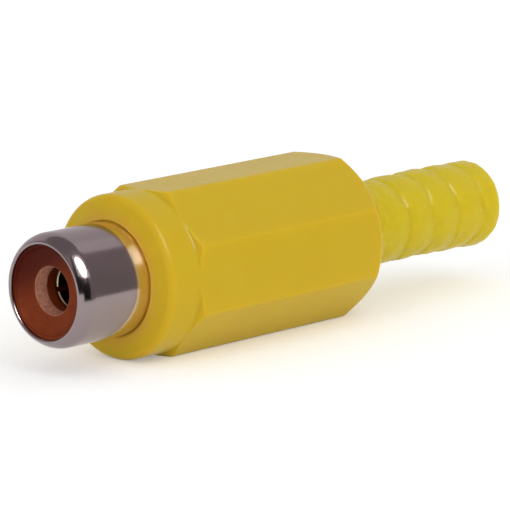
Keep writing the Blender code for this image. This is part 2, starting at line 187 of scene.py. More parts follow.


# %% [markdown]
# ### Nickel plate
#
# The barrel is brass turned on an automatic lathe and plated with nickel. The plating follows the
# turned surface, so the eye sees a mirror with very fine rings round it, a few faint smudges, and
# a warm grey instead of the blue-white of chrome. The rings of a real finishing cut are about
# 0.03 mm apart. They are drawn at 0.09 mm, because finer ones are lost between the pixels.
#
# Close to the housing the metal mirrors the yellow collar, and the dull grey of the rest would
# swallow most of that mirror image. So there the colour is painted lighter: a painted reflection
# that strengthens that mirror image. Its edge follows the line where the mirror image ends: a
# little over a millimetre in front of the collar, and further off below the axis, where it moves
# away with the square of the depth.

# %% Nickel plate
WAVE_RATE = 20.0            # radians that a wave texture of scale 1 turns in one metre
TURNING_RING = 0.09 * MM
SMUDGE_SIZE = 2.4 * MM
# The band near the collar where the metal is painted lighter: a painted reflection of the collar.
REFLECTION_BAND_WIDTH = 1.08 * MM
REFLECTION_BAND_FADE = 0.1 * MM
REFLECTION_BAND_SPREAD = 90.0         # per metre, times the square of the depth below the axis


def nickel_plate():
    material, tree, output, place = blank_material("nickel plate on turned brass")
    apart = add_node(tree, "ShaderNodeSeparateXYZ", {"Vector": place})
    below = add_node(
        tree, "ShaderNodeMath", {0: AXIS_Z, 1: apart.outputs["Z"]}, operation="SUBTRACT",
    )
    sunk = add_node(tree, "ShaderNodeMath", {0: below.outputs[0], 1: 0.0}, operation="MAXIMUM")
    squared = add_node(
        tree, "ShaderNodeMath", {0: sunk.outputs[0], 1: sunk.outputs[0]}, operation="MULTIPLY",
    )
    reach = add_node(
        tree, "ShaderNodeMath",
        {0: squared.outputs[0], 1: REFLECTION_BAND_SPREAD, 2: apart.outputs["X"]}, operation="MULTIPLY_ADD",
    )
    # Painted reflection: the lighter tone near the collar, whose edge follows the end of its mirror
    # image.
    painted_reflection_band = add_node(
        tree, "ShaderNodeMapRange",
        {"Value": reach.outputs[0], "From Min": COLLAR_X - REFLECTION_BAND_WIDTH - REFLECTION_BAND_FADE,
         "From Max": COLLAR_X - REFLECTION_BAND_WIDTH + REFLECTION_BAND_FADE},
        interpolation_type="SMOOTHSTEP",
    )
    rings = add_node(
        tree, "ShaderNodeTexWave", {"Vector": place, "Scale": math.tau / (WAVE_RATE * TURNING_RING),
                                    "Distortion": 1.5, "Detail": 2.0, "Detail Scale": 1.0},
        wave_type="BANDS", bands_direction="X",
    )
    smudges = add_node(
        tree, "ShaderNodeTexNoise", {"Vector": place, "Scale": 1.0 / SMUDGE_SIZE, "Detail": 5.0},
    )
    dulled = add_node(
        tree, "ShaderNodeMix",
        {"Factor": smudges.outputs["Fac"], 6: linear("#918486"), 7: linear("#998C8C")},
        data_type="RGBA",
    )
    tone = add_node(
        tree, "ShaderNodeMix",
        {"Factor": painted_reflection_band.outputs["Result"], 6: dulled.outputs[2], 7: linear("#E2D2C6")},
        data_type="RGBA",
    )
    haze = add_node(
        tree, "ShaderNodeMapRange",
        {"Value": smudges.outputs["Fac"], "From Min": 0.35, "From Max": 0.75,
         "To Min": 0.13, "To Max": 0.18},
    )
    bump = add_node(
        tree, "ShaderNodeBump",
        {"Height": rings.outputs["Fac"], "Strength": 0.25, "Distance": 0.0006 * MM},
    )
    shader = add_node(
        tree, "ShaderNodeBsdfPrincipled",
        {"Base Color": tone.outputs[2], "Metallic": 1.0, "Roughness": haze.outputs["Result"],
         "Normal": bump.outputs["Normal"]},
    )
    tree.links.new(shader.outputs["BSDF"], output.inputs["Surface"])
    return material


NICKEL = nickel_plate()

# %% [markdown]
# ### Moulded phenolic
#
# The insulator in the mouth is brown phenolic moulding powder, cured in a hot tool. Wood flour in
# the powder gives a mottled red-brown with an almost matt skin and a fine grain. Towards the top
# of the mouth the brown is painted deeper: a painted shade, where the lip shades the bowl. The
# edge of the pin's funnel is painted paler and speckled: a painted highlight for the light and
# sheen that the funnel's wall catches. A millimetre further in, the hole is dark moulded brown
# again. How far a point is from the axis matters here and on the housing, so one helper works it
# out.

# %% Distance from the axis
def from_axis(tree, place):
    """A point's place across the connector's axis, and its distance from the axis."""
    centred = add_node(
        tree, "ShaderNodeVectorMath", {0: place, 1: (0.0, 0.0, AXIS_Z)}, operation="SUBTRACT",
    )
    across = add_node(
        tree, "ShaderNodeVectorMath",
        {0: centred.outputs[0], 1: (0.0, 1.0, 1.0)}, operation="MULTIPLY",
    )
    radius = add_node(tree, "ShaderNodeVectorMath", {0: across.outputs[0]}, operation="LENGTH")
    return across.outputs[0], radius.outputs["Value"]


# %% Moulded phenolic
PHENOLIC_GRAIN = 0.12 * MM
PHENOLIC_MOTTLE = 0.9 * MM
PHENOLIC_SPECK = 0.22 * MM
# Painted shade: the brown is mixed darker towards this side of the mouth, where the lip shades the
# bowl.
PAINTED_SHADE_SIDE = (0.0, 0.45, 0.9)
PAINTED_SHADE_FROM = -0.6 * MM
PAINTED_SHADE_TO = 2.6 * MM
# The paler, speckled ring at the funnel's edge is a painted highlight for the light and sheen on
# its wall.
PAINTED_SHEEN_RADIUS = 1.79 * MM
PAINTED_SHEEN_END_X = MOUTH_X + 1.85 * MM
PAINTED_SHEEN_FADE = 0.05 * MM


def moulded_phenolic():
    material, tree, output, place = blank_material("moulded brown phenolic")
    apart = add_node(tree, "ShaderNodeSeparateXYZ", {"Vector": place})
    across, radius = from_axis(tree, place)
    near_hole = add_node(
        tree, "ShaderNodeMapRange",
        {"Value": radius, "From Min": PAINTED_SHEEN_RADIUS + 0.02 * MM, "From Max": PAINTED_SHEEN_RADIUS - 0.04 * MM},
    )
    not_deep = add_node(
        tree, "ShaderNodeMapRange",
        {"Value": apart.outputs["X"], "From Min": PAINTED_SHEEN_END_X + PAINTED_SHEEN_FADE,
         "From Max": PAINTED_SHEEN_END_X - PAINTED_SHEEN_FADE},
    )
    # Painted highlight: the funnel's first millimetre is mixed paler, for the light its wall
    # catches.
    painted_sheen_ring = add_node(
        tree, "ShaderNodeMath",
        {0: near_hole.outputs["Result"], 1: not_deep.outputs["Result"]}, operation="MULTIPLY",
    )
    specks = add_node(
        tree, "ShaderNodeTexNoise", {"Vector": place, "Scale": 1.0 / PHENOLIC_SPECK, "Detail": 4.0},
    )
    speck_share = add_node(
        tree, "ShaderNodeMapRange",
        {"Value": specks.outputs["Fac"], "From Min": 0.35, "From Max": 0.65},
    )
    painted_sheen_tone = add_node(
        tree, "ShaderNodeMix",
        {"Factor": speck_share.outputs["Result"], 6: linear("#A76F5A"), 7: linear("#C38C75")},
        data_type="RGBA",
    )
    mottle = add_node(
        tree, "ShaderNodeTexNoise",
        {"Vector": place, "Scale": 1.0 / PHENOLIC_MOTTLE, "Detail": 6.0},
    )
    grain = add_node(
        tree, "ShaderNodeTexNoise", {"Vector": place, "Scale": 1.0 / PHENOLIC_GRAIN, "Detail": 3.0},
    )
    moulded_tone = add_node(
        tree, "ShaderNodeMix",
        {"Factor": mottle.outputs["Fac"], 6: linear("#6F2B13"), 7: linear("#873D1B")},
        data_type="RGBA",
    )
    # Painted shade: darker towards the top of the mouth, where the lip shades the bowl.
    upwards = add_node(
        tree, "ShaderNodeVectorMath", {0: across, 1: PAINTED_SHADE_SIDE}, operation="DOT_PRODUCT",
    )
    painted_lip_shade = add_node(
        tree, "ShaderNodeMapRange",
        {"Value": upwards.outputs["Value"], "From Min": PAINTED_SHADE_FROM, "From Max": PAINTED_SHADE_TO},
        interpolation_type="SMOOTHSTEP",
    )
    tone_with_painted_shade = add_node(
        tree, "ShaderNodeMix",
        {"Factor": painted_lip_shade.outputs["Result"], 6: moulded_tone.outputs[2], 7: linear("#4E180D")},
        data_type="RGBA",
    )
    tone = add_node(
        tree, "ShaderNodeMix",
        {"Factor": painted_sheen_ring.outputs[0], 6: tone_with_painted_shade.outputs[2], 7: painted_sheen_tone.outputs[2]},
        data_type="RGBA",
    )
    sheen = add_node(
        tree, "ShaderNodeMapRange",
        {"Value": grain.outputs["Fac"], "To Min": 0.50, "To Max": 0.66},
    )
    bump = add_node(
        tree, "ShaderNodeBump",
        {"Height": grain.outputs["Fac"], "Strength": 0.4, "Distance": 0.006 * MM},
    )
    shader = add_node(
        tree, "ShaderNodeBsdfPrincipled",
        {"Base Color": tone.outputs[2], "Roughness": sheen.outputs["Result"],
         "Specular IOR Level": 0.08, "Normal": bump.outputs["Normal"]},
    )
    tree.links.new(shader.outputs["BSDF"], output.inputs["Surface"])
    return material


PHENOLIC = moulded_phenolic()

# %% [markdown]
# ### Phenolic paper laminate
#
# The washer at the rear of the barrel is punched from sheets of brown paper that were pressed
# together with resin. Its layers are about 0.1 mm thick and show as fine stripes on the cut edge.

# %% Phenolic paper laminate
PAPER_LAYER = 0.1 * MM


def paper_laminate():
    material, tree, output, place = blank_material("phenolic paper laminate")
    layers = add_node(
        tree, "ShaderNodeTexWave", {"Vector": place, "Scale": math.tau / (WAVE_RATE * PAPER_LAYER),
                                    "Distortion": 0.8, "Detail": 1.0},
        wave_type="BANDS", bands_direction="X",
    )
    tone = add_node(
        tree, "ShaderNodeMix",
        {"Factor": layers.outputs["Fac"], 6: linear("#6B4023"), 7: linear("#8A5A34")},
        data_type="RGBA",
    )
    shader = add_node(
        tree, "ShaderNodeBsdfPrincipled", {"Base Color": tone.outputs[2], "Roughness": 0.6},
    )
    tree.links.new(shader.outputs["BSDF"], output.inputs["Surface"])
    return material


LAMINATE = paper_laminate()

# %% [markdown]
# ### Spring brass and tinned strip
#
# The contact is turned from hard brass. Its front edge shows bright, and the bore behind it dark
# brown. The earth tag is stamped from steel strip that was dipped in tin, which leaves soft grey
# patches where the tin ran.

# %% Spring brass
BRASS_DRAW_LINE = 0.15 * MM
BRIGHT_EDGE = 0.1 * MM
TIN_PATCH = 0.8 * MM


def spring_brass():
    material, tree, output, place = blank_material("bright spring brass")
    drawn = add_node(
        tree, "ShaderNodeTexNoise",
        {"Vector": place, "Scale": 1.0 / BRASS_DRAW_LINE, "Detail": 2.0},
    )
    apart = add_node(tree, "ShaderNodeSeparateXYZ", {"Vector": place})
    behind_edge = add_node(
        tree, "ShaderNodeMapRange",
        {"Value": apart.outputs["X"], "From Min": contact_low.x + 0.5 * BRIGHT_EDGE,
         "From Max": contact_low.x + BRIGHT_EDGE},
    )
    bright = add_node(
        tree, "ShaderNodeMix",
        {"Factor": drawn.outputs["Fac"], 6: linear("#D8C59A"), 7: linear("#EAD9B4")},
        data_type="RGBA",
    )
    tone = add_node(
        tree, "ShaderNodeMix",
        {"Factor": behind_edge.outputs["Result"], 6: bright.outputs[2], 7: linear("#6B4A2C")},
        data_type="RGBA",
    )
    shine = add_node(
        tree, "ShaderNodeMapRange",
        {"Value": drawn.outputs["Fac"], "To Min": 0.3, "To Max": 0.5},
    )
    shader = add_node(
        tree, "ShaderNodeBsdfPrincipled",
        {"Base Color": tone.outputs[2], "Metallic": 1.0, "Roughness": shine.outputs["Result"]},
    )
    tree.links.new(shader.outputs["BSDF"], output.inputs["Surface"])
    return material


BRASS = spring_brass()


# %% Tinned strip
def tinned_strip():
    material, tree, output, place = blank_material("hot tinned steel strip")
    runs = add_node(
        tree, "ShaderNodeTexNoise", {"Vector": place, "Scale": 1.0 / TIN_PATCH, "Detail": 4.0},
    )
    tone = add_node(
        tree, "ShaderNodeMix",
        {"Factor": runs.outputs["Fac"], 6: linear("#A9A9A6"), 7: linear("#D2D2CE")},
        data_type="RGBA",
    )
    shine = add_node(
        tree, "ShaderNodeMapRange",
        {"Value": runs.outputs["Fac"], "To Min": 0.22, "To Max": 0.5},
    )
    shader = add_node(
        tree, "ShaderNodeBsdfPrincipled",
        {"Base Color": tone.outputs[2], "Metallic": 1.0, "Roughness": shine.outputs["Result"]},
    )
    tree.links.new(shader.outputs["BSDF"], output.inputs["Surface"])
    return material


TIN = tinned_strip()

# %% [markdown]
# ### Moulded yellow plastic
#
# The housing is a hard yellow plastic out of a polished steel tool. What the eye gets is an even
# colour with a soft gloss: a very slight orange peel from the flow of the plastic, and the first
# faint rubbing marks of handling, which show only as small changes in the gloss. Round the hole
# the yellow looks deeper and more orange, as in any narrow crease, where light passes from wall to
# wall several times. The material carries that as a slow change of tone.

# %% Moulded yellow plastic
ORANGE_PEEL = 0.55 * MM
COLOUR_DRIFT = 6.0 * MM
RUB_MARK = 1.6 * MM
CREASE_INNER = 4.3 * MM
CREASE_OUTER = 5.1 * MM
CREASE_DEPTH = 1.2 * MM


def yellow_shell():
    material, tree, output, place = blank_material("moulded yellow plastic")
    drift = add_node(
        tree, "ShaderNodeTexNoise", {"Vector": place, "Scale": 1.0 / COLOUR_DRIFT, "Detail": 3.0},
    )
    rubs = add_node(
        tree, "ShaderNodeTexNoise",
        {"Vector": place, "Scale": 1.0 / RUB_MARK, "Detail": 7.0, "Roughness": 0.6},
    )
    peel = add_node(
        tree, "ShaderNodeTexNoise", {"Vector": place, "Scale": 1.0 / ORANGE_PEEL, "Detail": 2.0},
    )
    tone = add_node(
        tree, "ShaderNodeMix",
        {"Factor": drift.outputs["Fac"], 6: linear("#CAAA26"), 7: linear("#CEB02C")},
        data_type="RGBA",
    )
    apart = add_node(tree, "ShaderNodeSeparateXYZ", {"Vector": place})
    _, radius = from_axis(tree, place)
    near_hole = add_node(
        tree, "ShaderNodeMapRange",
        {"Value": radius, "From Min": CREASE_OUTER, "From Max": CREASE_INNER},
    )
    at_front = add_node(
        tree, "ShaderNodeMapRange",
        {"Value": apart.outputs["X"], "From Min": COLLAR_X + CREASE_DEPTH,
         "From Max": COLLAR_X + 0.6 * CREASE_DEPTH},
    )
    in_crease = add_node(
        tree, "ShaderNodeMath",
        {0: near_hole.outputs["Result"], 1: at_front.outputs["Result"]}, operation="MULTIPLY",
    )
    deepened = add_node(
        tree, "ShaderNodeMix",
        {"Factor": in_crease.outputs[0], 6: tone.outputs[2], 7: linear("#CDA03A")},
        data_type="RGBA",
    )
    gloss = add_node(
        tree, "ShaderNodeMapRange",
        {"Value": rubs.outputs["Fac"], "From Min": 0.3, "From Max": 0.7,
         "To Min": 0.20, "To Max": 0.28},
    )
    bump = add_node(
        tree, "ShaderNodeBump",
        {"Height": peel.outputs["Fac"], "Strength": 0.3, "Distance": 0.004 * MM},
    )
    shader = add_node(
        tree, "ShaderNodeBsdfPrincipled",
        {"Base Color": deepened.outputs[2], "Roughness": gloss.outputs["Result"],
         "Specular IOR Level": 0.06, "Normal": bump.outputs["Normal"], "Subsurface Weight": 0.9,
         "Subsurface Radius": (1.0, 0.5, 0.15), "Subsurface Scale": 1.2 * MM},
    )
    tree.links.new(shader.outputs["BSDF"], output.inputs["Surface"])
    return material


SHELL = yellow_shell()

# %% [markdown]
# ### Soft vinyl
#
# The boot is plasticised PVC. It is a little greener than the shell, lets some light in, and has
# a greasy gloss that breaks up over small dimples left by the tool.

# %% Soft vinyl
VINYL_DIMPLE = 1.1 * MM
VINYL_GRAIN = 0.3 * MM


def soft_vinyl():
    material, tree, output, place = blank_material("soft yellow vinyl")
    dimples = add_node(
        tree, "ShaderNodeTexNoise", {"Vector": place, "Scale": 1.0 / VINYL_DIMPLE, "Detail": 3.0},
    )
    grain = add_node(
        tree, "ShaderNodeTexNoise", {"Vector": place, "Scale": 1.0 / VINYL_GRAIN, "Detail": 3.0},
    )
    tone = add_node(
        tree, "ShaderNodeMix",
        {"Factor": dimples.outputs["Fac"], 6: linear("#CBB524"), 7: linear("#D0BB2C")},
        data_type="RGBA",
    )
    gloss = add_node(
        tree, "ShaderNodeMapRange",
        {"Value": grain.outputs["Fac"], "To Min": 0.22, "To Max": 0.36},
    )
    coarse = add_node(
        tree, "ShaderNodeBump",
        {"Height": dimples.outputs["Fac"], "Strength": 0.5, "Distance": 0.035 * MM},
    )
    fine = add_node(
        tree, "ShaderNodeBump",
        {"Height": grain.outputs["Fac"], "Strength": 0.4, "Distance": 0.006 * MM,
         "Normal": coarse.outputs["Normal"]},
    )
    shader = add_node(
        tree, "ShaderNodeBsdfPrincipled",
        {"Base Color": tone.outputs[2], "Roughness": gloss.outputs["Result"],
         "Specular IOR Level": 0.08, "Normal": fine.outputs["Normal"], "Subsurface Weight": 1.0,
         "Subsurface Radius": (1.0, 0.8, 0.25), "Subsurface Scale": 1.6 * MM},
    )
    tree.links.new(shader.outputs["BSDF"], output.inputs["Surface"])
    return material


VINYL = soft_vinyl()

# %% [markdown]
# ## The barrel
#
# The real barrel is turned from brass bar: its nose is rounded to guide the plug on, and behind
# the plain mating length comes a fine thread for the housing. The half section starts at the lip,
# runs back along the outside, over the rolled rim at the rear and forward again inside.

# %% Sizes of the barrel
HAIR = 0.01 * MM            # too small to see, and keeps two edges apart
NOSE_RADIUS = 1.7 * MM
NOSE_SWEEP = math.radians(45.0)
SHOULDER_X = COLLAR_X + 1.0 * MM
PLAIN_LENGTH = 4.0 * MM
EDGE_BREAK = 0.1 * MM
THREAD_RADIUS = 3.95 * MM
THREAD_DEPTH = 0.42 * MM
THREAD_PITCH = 0.75 * MM
THREAD_START_X = SHOULDER_X + 0.95 * MM
THREAD_END_X = SHOULDER_X + 4.5 * MM
THREAD_CHAMFER = 0.3 * MM
THREAD_FADE = 0.4 * THREAD_PITCH
GROOVE_HALF = 0.44          # half the groove's width, as a share of the pitch
UNDERCUT_RADIUS = 3.5 * MM
UNDERCUT_WIDTH = 0.5 * MM
NECK_RADIUS = 3.5 * MM
RIM_WALL = 0.4 * MM
RIM_RADIUS = 2.45 * MM
STEM_SEAT_RADIUS = 2.85 * MM
INSULATOR_SEAT_RADIUS = 3.4 * MM
INSULATOR_STEP_X = MOUTH_X + 5.47 * MM
BARREL_COLUMNS = 192
THREAD_ROWS_PER_PITCH = 14

# %% [markdown]
# The thread is a true helix. At each point the distance along the axis and the angle round it
# give a phase, and the phase gives the depth of a V groove. Right-handed means that the groove
# moves towards the cable as it turns from Y towards Z. The groove fades in and out at its ends.

# %% The thread's groove
def thread_groove(x, radius, angle):
    """The radius at a point of the threaded length, and any other radius as it was."""
    along_thread = THREAD_START_X <= x <= THREAD_END_X
    if not along_thread or radius <= THREAD_RADIUS - THREAD_DEPTH:
        return radius
    phase = (x / THREAD_PITCH - angle / math.tau) % 1.0
    groove = max(0.0, 1.0 - abs(phase - 0.5) / GROOVE_HALF)
    run_out = min(1.0, (x - THREAD_START_X) / THREAD_FADE)
    lead_in = min(1.0, (THREAD_END_X - x) / THREAD_FADE)
    return radius - THREAD_DEPTH * groove * min(run_out, lead_in)


# %% Turn the barrel
def barrel_section():
    outward = math.sin(NOSE_SWEEP)
    nose_height = BARREL_RADIUS - NOSE_RADIUS
    lip_round = (nose_height + NOSE_RADIUS * outward - INSULATOR_SEAT_RADIUS) / (1.0 + outward)
    lip_centre = (MOUTH_X + lip_round, INSULATOR_SEAT_RADIUS + lip_round)
    nose_x = lip_centre[0] + (NOSE_RADIUS - lip_round) * math.cos(NOSE_SWEEP)
    plain_start = (SHOULDER_X - PLAIN_LENGTH, BARREL_RADIUS)
    plain_end = (SHOULDER_X - EDGE_BREAK, BARREL_RADIUS)
    edge_centre = (SHOULDER_X - EDGE_BREAK, BARREL_RADIUS - EDGE_BREAK)
    chamfer_start = (THREAD_END_X - THREAD_CHAMFER, THREAD_RADIUS)
    chamfer_end = (THREAD_END_X, THREAD_RADIUS - THREAD_CHAMFER)
    thread_rows = round((THREAD_END_X - THREAD_START_X) / THREAD_PITCH * THREAD_ROWS_PER_PITCH)
    rim_x = BARREL_END_X - RIM_WALL
    section = arc(lip_centre, (lip_round, lip_round), 270, 135, steps=12)
    section += arc((nose_x, nose_height), (NOSE_RADIUS, NOSE_RADIUS), 135, 90, steps=24)[1:]
    section += between(plain_start, plain_end, steps=6)
    section += arc(edge_centre, (EDGE_BREAK, EDGE_BREAK), 90, 0, steps=4)
    section += [
        (SHOULDER_X, UNDERCUT_RADIUS),
        (SHOULDER_X + UNDERCUT_WIDTH, UNDERCUT_RADIUS),
        (THREAD_START_X - HAIR, THREAD_RADIUS),
    ]
    section += between((THREAD_START_X, THREAD_RADIUS), chamfer_start, thread_rows)
    section += between(chamfer_start, chamfer_end, steps=4)
    section += [chamfer_end, (THREAD_END_X, NECK_RADIUS)]
    section += arc((rim_x, NECK_RADIUS - RIM_WALL), (RIM_WALL, RIM_WALL), 90, 0, steps=8)
    section += [
        (BARREL_END_X, RIM_RADIUS),
        (rim_x, RIM_RADIUS),
        (rim_x, STEM_SEAT_RADIUS),
        (INSULATOR_STEP_X, STEM_SEAT_RADIUS),
        (INSULATOR_STEP_X, INSULATOR_SEAT_RADIUS),
    ]
    return section


barrel = lathe("nickel_barrel", barrel_section(), BARREL_COLUMNS, thread_groove)
hand_over(barrel, "outer_contact_barrel", "insert", NICKEL)

# %% [markdown]
# ## The insulator and the contact
#
# The insulator's face is a shallow bowl with a funnel that leads the pin in. Its depth below the
# lip gives the mouth its shadow, so the section has a thin rim, a bowl that is a quarter of an
# ellipse, a narrow flat floor, and the funnel with a rounded edge.

# %% Sizes of the insulator
RIM_X = insulator_low.x
FACE_X = MOUTH_X + 0.85 * MM
INSULATOR_RADIUS = 3.39 * MM
DISH_WALL_RADIUS = 3.21 * MM
DISH_REACH = 0.95 * MM
RIM_EDGE = 0.02 * MM
FUNNEL_RADIUS = 1.75 * MM
FUNNEL_EDGE = 0.06 * MM
FUNNEL_END_X = FACE_X + 1.0 * MM
PIN_HOLE_RADIUS = 1.62 * MM
CONTACT_SEAT_X = contact_low.x - 0.1 * MM
CONTACT_SEAT_RADIUS = 1.94 * MM
STEM_RADIUS = 2.78 * MM
HEAD_END_X = MOUTH_X + 5.37 * MM
INSULATOR_COLUMNS = 160


# %% Mould the insulator
def insulator_section():
    floor_radius = DISH_WALL_RADIUS - DISH_REACH
    floor_start = (FACE_X, floor_radius - FUNNEL_EDGE)
    floor_end = (FACE_X, FUNNEL_RADIUS + FUNNEL_EDGE)
    funnel_centre = (FACE_X + FUNNEL_EDGE, FUNNEL_RADIUS + FUNNEL_EDGE)
    funnel_start = (FACE_X + 2.0 * FUNNEL_EDGE, FUNNEL_RADIUS)
    section = [(RIM_X, INSULATOR_RADIUS), (RIM_X, DISH_WALL_RADIUS + RIM_EDGE)]
    section += arc((RIM_X, floor_radius), (FACE_X - RIM_X, DISH_REACH), 90, 0, steps=28)
    section += between(floor_start, floor_end, steps=4)
    section += arc(funnel_centre, (FUNNEL_EDGE, FUNNEL_EDGE), 180, 270, steps=4)
    section += between(funnel_start, (FUNNEL_END_X, PIN_HOLE_RADIUS), steps=5)
    section += [
        (FUNNEL_END_X, PIN_HOLE_RADIUS),
        (CONTACT_SEAT_X, PIN_HOLE_RADIUS),
        (CONTACT_SEAT_X, CONTACT_SEAT_RADIUS),
        (insulator_high.x, CONTACT_SEAT_RADIUS),
        (insulator_high.x, STEM_RADIUS),
        (HEAD_END_X, STEM_RADIUS),
        (HEAD_END_X, INSULATOR_RADIUS),
    ]
    return section


insulator = lathe("phenolic_insulator", insulator_section(), INSULATOR_COLUMNS)
hand_over(insulator, "front_insulator", "insert", PHENOLIC)

# %% [markdown]
# The contact, the washer and the tag keep the shape that they have in the frame, and only get
# their materials.

# %% Dress the inner pieces
inner_finishes = {"centre_contact": BRASS, "rear_insulator_washer": LAMINATE, "earth_tag": TIN}
for node_name, material in inner_finishes.items():
    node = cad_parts[node_name]
    node.data.materials.clear()
    node.data.materials.append(material)
print("inner pieces dressed:", ", ".join(inner_finishes))

# %% [markdown]
# ## The housing
#
# The real housing is one moulding: a round collar with a domed front, and an octagonal grip. Here
# a cone at each end of the grip trims its corners to arcs, and the rear cone is a simplification.
# The shape could be made with Boolean cuts and a bevel, which then has to follow the curved edges
# where the cones meet the flats. So each point takes the smaller of two radii instead, the turned
# outline's and the octagon's, and a soft minimum rounds the edge between them as the tool's own
# radius does.

# %% Sizes of the housing
HALF_SIDE = math.pi / 8.0   # half the angle that one side of the octagon takes up
COLLAR_RADIUS = FLAT_RADIUS - HAIR
CORNER_RADIUS = FLAT_RADIUS / math.cos(HALF_SIDE)
CORNER_ROUND = 0.22 * MM
DOME_SLOPE = math.radians(16.5)
DOME_X = COLLAR_X + 0.95 * MM
DOME_ROUND = 0.57 * MM
HOLE_ROUND = 0.2 * MM
GRIP_X = COLLAR_X + 3.36 * MM
FRONT_CHAMFER = 0.4 * MM
REAR_CHAMFER = 1.81 * MM
REAR_FACE_RADIUS = 5.15 * MM
REAR_ROUND = 0.25 * MM
COLLAR_HOLE_RADIUS = 4.22 * MM
COLLAR_EDGE_RADIUS = 4.155 * MM
SCREW_BORE_RADIUS = 4.03 * MM
CHAMBER_RADIUS = 4.7 * MM
CHAMBER_FRONT_X = MOUTH_X + 11.87 * MM
CHAMBER_REAR_X = HOUSING_END_X - 1.9 * MM
BOOT_HOLE_RADIUS = 3.17 * MM
BOOT_HOLE_EDGE = 0.06 * MM
OUTSIDE_RADIUS = CHAMBER_RADIUS + 0.2 * MM
COLLAR_ROWS_X = DOME_X + 0.2 * MM
HOLE_LEAD = 0.1 * MM
FRONT_ROWS = 1.0 * MM       # lengths at the ends of the grip where the rows stand closer
REAR_ROWS = 0.6 * MM
EDGE_SOFTNESS = 0.16 * MM
HOUSING_COLUMNS = 560


# %% The grip's octagon
def octagon_radius(angle):
    """Distance from the axis to the rounded octagon in a direction."""
    from_corner = abs((angle % (2.0 * HALF_SIDE)) - HALF_SIDE)
    centre = (FLAT_RADIUS - CORNER_ROUND) / math.cos(HALF_SIDE)
    tangent_x = centre + CORNER_ROUND * math.cos(HALF_SIDE)
    tangent_y = CORNER_ROUND * math.sin(HALF_SIDE)
    if from_corner < math.atan2(tangent_y, tangent_x):
        sideways = centre * math.sin(from_corner)
        return centre * math.cos(from_corner) + math.sqrt(CORNER_ROUND ** 2 - sideways ** 2)
    return FLAT_RADIUS / math.cos(HALF_SIDE - from_corner)


def soft_minimum(first, second, softness):
    """The smaller of two lengths, with a rounded change from one to the other."""
    if softness <= 0.0:
        return min(first, second)
    nearness = max(softness - abs(first - second), 0.0) / softness
    return min(first, second) - nearness * nearness * softness / 4.0


def grip_outline(x, radius, angle):
    """Trim a turned radius to the octagon along the grip, and leave everything else round."""
    if x < GRIP_X or radius < OUTSIDE_RADIUS:
        return radius
    softness = EDGE_SOFTNESS * min(1.0, (x - GRIP_X) / FRONT_CHAMFER)
    return soft_minimum(radius, octagon_radius(angle), softness)


# %% Mould the housing
def housing_section():
    tilt = math.degrees(DOME_SLOPE)
    dome_centre = (DOME_X, COLLAR_RADIUS - DOME_ROUND)
    dome_arc = arc(dome_centre, (DOME_ROUND, DOME_ROUND), 180.0 - tilt, 90.0, steps=20)
    slope_x, slope_height = dome_arc[0]
    hole_height = COLLAR_EDGE_RADIUS + HOLE_ROUND
    slope_length = (slope_height - hole_height) * math.tan(DOME_SLOPE)
    hole_x = slope_x - slope_length + HOLE_ROUND / math.cos(DOME_SLOPE)
    hole_centre = (hole_x, hole_height)
    hole_arc = arc(hole_centre, (HOLE_ROUND, HOLE_ROUND), 270.0, 180.0 - tilt, steps=18)
    cone_radius = CORNER_RADIUS + HAIR
    cone_x = HOUSING_END_X - REAR_CHAMFER
    rear_centre = (HOUSING_END_X - REAR_ROUND, REAR_FACE_RADIUS - REAR_ROUND)
    rear_edge = (HOUSING_END_X - REAR_ROUND, REAR_FACE_RADIUS)
    section = hole_arc[:-1]
    section += between(hole_arc[-1], dome_arc[0], steps=12)
    section += dome_arc
    section += between((COLLAR_ROWS_X, COLLAR_RADIUS), (GRIP_X, COLLAR_RADIUS), steps=5)
    section += between((GRIP_X, COLLAR_RADIUS), (GRIP_X + FRONT_CHAMFER, cone_radius), steps=12)
    stations = (GRIP_X + FRONT_CHAMFER, GRIP_X + FRONT_ROWS, cone_x - REAR_ROWS, cone_x)
    for start_x, end_x, rows in zip(stations, stations[1:], (6, 24, 10)):
        section += between((start_x, cone_radius), (end_x, cone_radius), rows)
    section += between((cone_x, cone_radius), rear_edge, steps=44)
    section += arc(rear_centre, (REAR_ROUND, REAR_ROUND), 60, 0, steps=6)
    section += [
        (HOUSING_END_X, BOOT_HOLE_RADIUS + BOOT_HOLE_EDGE),
        (HOUSING_END_X - BOOT_HOLE_EDGE, BOOT_HOLE_RADIUS),
        (CHAMBER_REAR_X, BOOT_HOLE_RADIUS),
        (CHAMBER_REAR_X, CHAMBER_RADIUS),
        (CHAMBER_FRONT_X + CHAMBER_RADIUS - SCREW_BORE_RADIUS, CHAMBER_RADIUS),
        (CHAMBER_FRONT_X, SCREW_BORE_RADIUS),
        (SHOULDER_X + EDGE_BREAK, SCREW_BORE_RADIUS),
        (SHOULDER_X + EDGE_BREAK, COLLAR_HOLE_RADIUS),
        (hole_x + HOLE_LEAD, COLLAR_HOLE_RADIUS),
    ]
    return section


housing = lathe("yellow_housing", housing_section(), HOUSING_COLUMNS, grip_outline)
hand_over(housing, "housing", "housing", SHELL, sharp_angle=60.0)

# %% [markdown]
# ## The boot
#
# The boot is soft vinyl with shallow rings for the fingers. The outline in the photograph shows
# that the rings are spaced wider on top than underneath, that the sleeve bends by a tenth of a
# millimetre, and that its end is slanted. The highlights there are broken into spots. Here three
# things break them, which are a guess at what a soft moulding does: every ring starts with a thin
# uneven lip, the rings waver, and small hollows lie in them.

